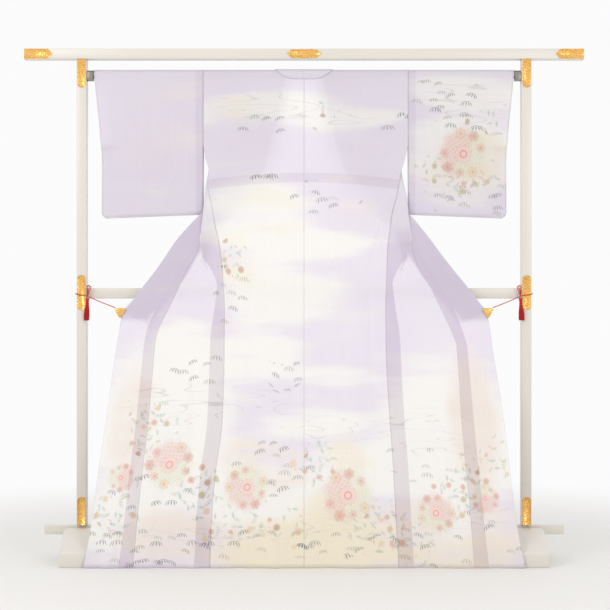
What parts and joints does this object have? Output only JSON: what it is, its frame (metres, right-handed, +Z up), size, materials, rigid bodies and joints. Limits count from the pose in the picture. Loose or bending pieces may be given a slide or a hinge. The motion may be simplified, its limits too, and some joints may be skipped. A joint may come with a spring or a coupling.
{
  "type": "houmongi kimono with kimono stand",
  "caption": "Formal silk kimono spread over the rod of a lacquered wooden kimono stand, its back to the viewer and its front panels drawn out at the sides by clips and cords",
  "frame": {"origin": "bottom centre of the whole object's box, on the floor under the stand", "axes": "+Z up; -Y is the side that the garment's back faces; +X is the garment's right, along the beam"},
  "size_m": [1.8114, 0.3678, 1.655],
  "materials": {
    "silk": "sheer pale lavender silk gauze with a dyed pattern of flowers, grasses and mist",
    "ivory_lacquer": "satin ivory lacquer on wood",
    "brass": "engraved gilt brass",
    "dark_steel": "grey metal rod with end brackets",
    "red_cord": "braided red silk cord and tassel"
  },
  "bodies": {
    "root": {"back_panel_left": "silk", "back_panel_right": "silk", "front_panel_left": "silk", "front_panel_right": "silk", "okumi_left": "silk", "okumi_right": "silk", "collar": "silk", "over_collar": "silk", "sleeve_left": "silk", "sleeve_right": "silk", "top_beam": "ivory_lacquer", "middle_rail": "ivory_lacquer", "low_rail": "ivory_lacquer", "post_left": "ivory_lacquer", "post_right": "ivory_lacquer", "foot_left": "ivory_lacquer", "foot_right": "ivory_lacquer", "hanging_rod": "dark_steel", "beam_centre_plate": "brass", "beam_cap_left": "brass", "beam_cap_right": "brass", "post_top_plate_left": "brass", "post_top_plate_right": "brass", "post_middle_plate_left": "brass", "post_middle_plate_right": "brass", "post_foot_plate_left": "brass", "post_foot_plate_right": "brass", "clip_left": "brass", "clip_right": "brass", "tie_cord_left": "red_cord", "tie_cord_right": "red_cord", "tassel_left": "red_cord", "tassel_right": "red_cord"}
  },
  "joints": []
}
